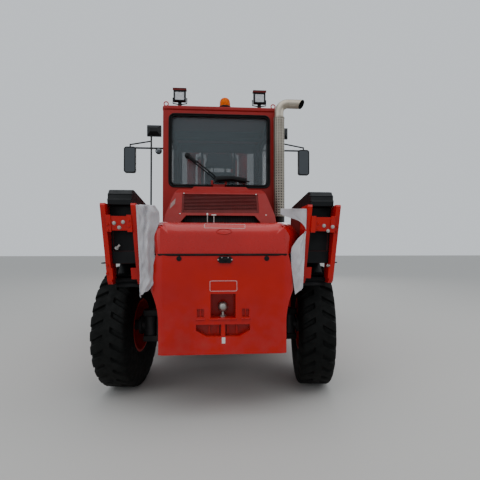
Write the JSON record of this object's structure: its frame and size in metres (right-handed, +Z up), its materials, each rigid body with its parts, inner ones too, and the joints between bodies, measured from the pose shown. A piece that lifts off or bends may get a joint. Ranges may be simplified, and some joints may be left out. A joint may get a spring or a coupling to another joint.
{
  "type": "heavy diesel forklift truck",
  "caption": "Heavy diesel counterbalance forklift: cab, hood, cast counterweight, steered rear wheels, dual front tyres, two-stage mast with carriage and forks.",
  "frame": {"origin": "on the floor, under the middle of the machine's whole box", "axes": "+X the machine's right side, +Y forwards to the fork tips, +Z up"},
  "size_m": [3.45, 8.02, 3.9],
  "materials": {
    "amber": "amber lens",
    "chrome": "hard chrome",
    "dark_paint": "black enamel, satin",
    "glass": "clear tinted safety glass",
    "grille_paint": "dark red enamel, satin",
    "iron": "dark cast iron",
    "moulding": "black moulded plastic",
    "red_paint": "bright orange-red enamel, gloss",
    "rim_paint": "red enamel, satin",
    "seat_cloth": "black woven cloth",
    "sheet": "white protective cloth",
    "stainless": "stainless steel, slightly straw tinted",
    "steel": "bare steel",
    "tyre": "black rubber, matt"
  },
  "bodies": {
    "chassis": {"frame": "red_paint", "counterweight": "red_paint", "tail_cover": "red_paint", "tow_pin": "steel", "side_tanks": "red_paint", "deck": "dark_paint", "cab_floor": "dark_paint", "cab_rear_wall": "red_paint", "cab_front_wall": "red_paint", "cab_sides": "red_paint", "cab_glass": "glass", "cab_roof": "red_paint", "seat": "seat_cloth", "steering_column": "moulding", "hood_base": "red_paint", "radiator": "dark_paint", "engine_block": "iron", "exhaust_pipe": "stainless", "exhaust_shield": "stainless", "mirrors_and_rails": "dark_paint", "work_lamps": "moulding", "beacon": "amber", "mudguards": "moulding", "rear_stays": "red_paint", "side_boxes": "grille_paint", "box_lids": "moulding", "packing_sheets": "sheet", "drive_axle": "dark_paint", "steer_axle": "dark_paint"},
    "hood": {"engine_hood": "red_paint", "radiator_grille": "grille_paint"},
    "door_left": {"door_left": "red_paint", "door_glass_left": "glass"},
    "door_right": {"door_right": "red_paint", "door_glass_right": "glass"},
    "knuckle_left": {"knuckle_left": "iron"},
    "knuckle_right": {"knuckle_right": "iron"},
    "wheel_rear_left": {"tyre_rear_left": "tyre", "rim_rear_left": "rim_paint"},
    "wheel_rear_right": {"tyre_rear_right": "tyre", "rim_rear_right": "rim_paint"},
    "wheels_front_left": {"tyres_front_left": "tyre", "rim_front_left": "rim_paint"},
    "wheels_front_right": {"tyres_front_right": "tyre", "rim_front_right": "rim_paint"},
    "mast_outer": {"mast_outer": "red_paint", "lift_barrels": "red_paint"},
    "mast_inner": {"mast_inner": "red_paint", "lift_rods": "chrome", "lift_chains": "steel"},
    "carriage": {"carriage": "red_paint"},
    "fork_left": {"fork_left": "dark_paint"},
    "fork_right": {"fork_right": "dark_paint"},
    "tilt_barrels": {"tilt_barrels": "red_paint"},
    "tilt_rods": {"tilt_rods": "chrome"}
  },
  "joints": [
    {"name": "steer_left", "type": "hinge", "parent": "chassis", "child": "knuckle_left", "pos_m": [-0.83, -3.03, 0.685], "axis": [0, 0, 1], "range_deg": [-43, 57]},
    {"name": "steer_right", "type": "hinge", "parent": "chassis", "child": "knuckle_right", "pos_m": [0.83, -3.03, 0.685], "axis": [0, 0, 1], "range_deg": [-43, 57]},
    {"name": "roll_rear_left", "type": "hinge", "parent": "knuckle_left", "child": "wheel_rear_left", "pos_m": [-1.07814, -2.99953, 0.685], "axis": [0.9925, -0.1219, 0], "continuous": true},
    {"name": "roll_rear_right", "type": "hinge", "parent": "knuckle_right", "child": "wheel_rear_right", "pos_m": [1.07814, -3.06047, 0.685], "axis": [0.9925, -0.1219, 0], "continuous": true},
    {"name": "roll_front_left", "type": "hinge", "parent": "chassis", "child": "wheels_front_left", "pos_m": [-1.125, 0.72, 0.685], "axis": [1, 0, 0], "continuous": true},
    {"name": "roll_front_right", "type": "hinge", "parent": "chassis", "child": "wheels_front_right", "pos_m": [1.125, 0.72, 0.685], "axis": [1, 0, 0], "continuous": true},
    {"name": "mast_tilt", "type": "hinge", "parent": "chassis", "child": "mast_outer", "pos_m": [0, 0.72, 0.685], "axis": [1, 0, 0], "range_deg": [-6, 10]},
    {"name": "mast_lift", "type": "slide", "parent": "mast_outer", "child": "mast_inner", "axis": [0, 0, 1], "range_m": [0, 1.5]},
    {"name": "carriage_lift", "type": "slide", "parent": "mast_inner", "child": "carriage", "axis": [0, 0, 1], "range_m": [0, 1.5]},
    {"name": "fork_left_shift", "type": "slide", "parent": "carriage", "child": "fork_left", "axis": [-1, 0, 0], "range_m": [-0.3, 0.6]},
    {"name": "fork_right_shift", "type": "slide", "parent": "carriage", "child": "fork_right", "axis": [1, 0, 0], "range_m": [-0.3, 0.6]},
    {"name": "tilt_barrel_swing", "type": "hinge", "parent": "chassis", "child": "tilt_barrels", "pos_m": [0, -0.16, 1.12], "axis": [1, 0, 0], "range_deg": [-20, 20]},
    {"name": "tilt_rod_slide", "type": "slide", "parent": "tilt_barrels", "child": "tilt_rods", "axis": [0, 0.9371, 0.3491], "range_m": [-0.25, 0.25]},
    {"name": "door_left_hinge", "type": "hinge", "parent": "chassis", "child": "door_left", "pos_m": [-0.814, -1.73, 2.5], "axis": [0, 0, 1], "range_deg": [0, 90]},
    {"name": "door_right_hinge", "type": "hinge", "parent": "chassis", "child": "door_right", "pos_m": [0.814, -1.73, 2.5], "axis": [0, 0, -1], "range_deg": [0, 90]},
    {"name": "hood_lid", "type": "hinge", "parent": "chassis", "child": "hood", "pos_m": [0, -2.245, 2.377], "axis": [-1, 0, 0], "range_deg": [0, 45]}
  ],
  "couplings": [
    {"joint": "steer_right", "follows": "steer_left", "ratio": 1},
    {"joint": "carriage_lift", "follows": "mast_lift", "ratio": 1},
    {"joint": "tilt_barrel_swing", "follows": "mast_tilt", "ratio": 0.37348},
    {"joint": "tilt_rod_slide", "follows": "mast_tilt", "m_per_rad": -0.72635}
  ]
}
